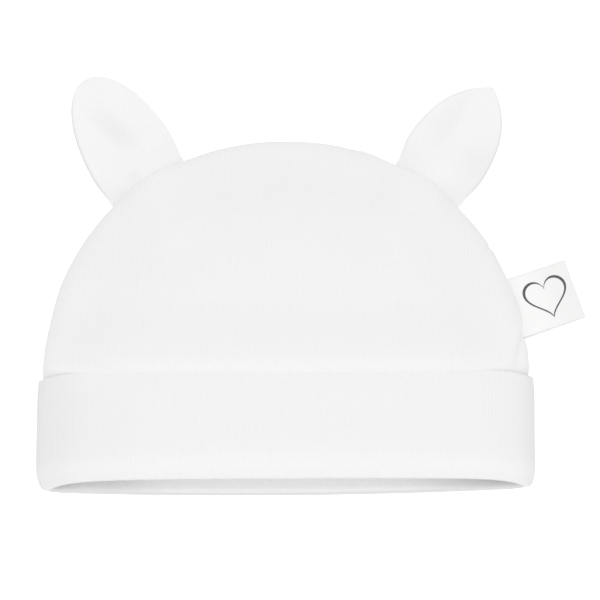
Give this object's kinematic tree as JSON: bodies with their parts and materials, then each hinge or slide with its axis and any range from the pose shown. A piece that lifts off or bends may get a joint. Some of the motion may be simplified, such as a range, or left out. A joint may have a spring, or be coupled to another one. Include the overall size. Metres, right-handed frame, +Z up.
{
  "type": "baby hat with ears",
  "caption": "Soft rib-knit baby hat lying on its back: domed crown, turned-up cuff, leaf-shaped ears and a folded ribbon label in the side seam.",
  "frame": {"origin": "on the flat underside of the hat's back, on the hat's middle line and about halfway along its length from hem to crown", "axes": "+X across the hat towards the label's side, +Y from the opening towards the crown and ears, +Z up from the surface the hat lies on"},
  "size_m": [0.199, 0.1537, 0.0309],
  "materials": {
    "rib_knit": "matt white fine rib-knit cotton",
    "ear_knit": "matt white plain cotton jersey",
    "label_ribbon": "smooth white cotton ribbon with a small dark motif"
  },
  "bodies": {
    "root": {"crown_front": "rib_knit", "crown_back": "rib_knit", "cuff": "rib_knit", "ear_left": "ear_knit", "ear_right": "ear_knit", "label": "label_ribbon"}
  },
  "joints": []
}
